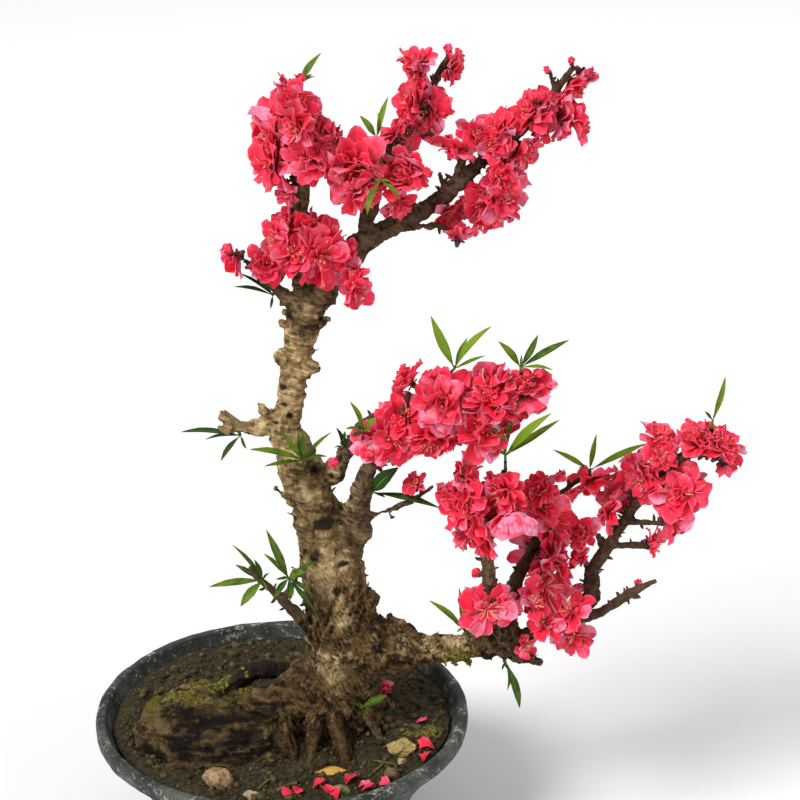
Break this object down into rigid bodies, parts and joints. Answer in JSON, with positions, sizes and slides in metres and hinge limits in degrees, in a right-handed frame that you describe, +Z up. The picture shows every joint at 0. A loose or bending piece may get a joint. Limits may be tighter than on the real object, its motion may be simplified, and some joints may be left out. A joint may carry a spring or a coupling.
{
  "type": "flowering bonsai tree in a pot",
  "caption": "Flowering peach bonsai with deep pink double blossoms and young leaves, old leaning trunk and layered roots, in a round flared pot with soil and moss.",
  "frame": {"origin": "middle of the pot's flat base, on the surface that it stands on", "axes": "+Z up, -Y towards the front that the picture shows, +X to the right, the side that the tree leans and reaches to"},
  "size_m": [0.4848, 0.284, 0.617],
  "materials": {
    "pot_clay": "satin",
    "screen": "matte",
    "bark": "matte",
    "soil": "matte",
    "moss": "matte",
    "stone": "matte",
    "petal": "satin",
    "leaf": "satin",
    "dry_leaf": "satin"
  },
  "bodies": {
    "root": {"blossoms_crown_centre": "petal", "blossoms_crown_left": "petal", "blossoms_crown_top": "petal", "blossoms_fork_left": "petal", "blossoms_fork_left_single": "petal", "blossoms_fork_right": "petal", "blossoms_limb_above": "petal", "blossoms_limb_below": "petal", "blossoms_limb_tip": "petal", "blossoms_low_ball": "petal", "blossoms_low_centre": "petal", "blossoms_low_front": "petal", "blossoms_low_star": "petal", "blossoms_low_under": "petal", "blossoms_mid_centre": "petal", "blossoms_mid_cup": "petal", "blossoms_mid_left": "petal", "blossoms_mid_right": "petal", "blossoms_mid_single": "petal", "blossoms_right_left": "petal", "blossoms_right_low": "petal", "blossoms_right_mid": "petal", "blossoms_right_single": "petal", "blossoms_right_tip": "petal", "bonsai_tree": "bark", "drainage_screen": "screen", "fallen_blossom": "petal", "fallen_leaf": "dry_leaf", "fallen_petal_front": "petal", "fallen_petal_right": "petal", "leaves_crown_centre_low": "leaf", "leaves_crown_centre_top": "leaf", "leaves_crown_left": "leaf", "leaves_fork_left": "leaf", "leaves_left_stub": "leaf", "leaves_low_limb_hanging": "leaf", "leaves_low_limb_sprout": "leaf", "leaves_lower_left_inner": "leaf", "leaves_lower_left_outer": "leaf", "leaves_mid_left": "leaf", "leaves_mid_low": "leaf", "leaves_mid_right": "leaf", "leaves_mid_shade": "leaf", "leaves_mid_small": "leaf", "leaves_mid_top": "leaf", "leaves_right_shoot": "leaf", "leaves_right_tip_leaf": "leaf", "leaves_trunk_base_leaf": "leaf", "leaves_trunk_spur": "leaf", "moss_on_limb": "moss", "moss_on_rootstock": "moss", "moss_on_soil": "moss", "pot": "pot_clay", "soil": "soil", "stone_brown": "stone", "stone_olive": "stone", "stone_pale": "stone", "stone_round": "stone", "stone_tan": "stone", "stone_tan_small": "stone"}
  },
  "joints": []
}
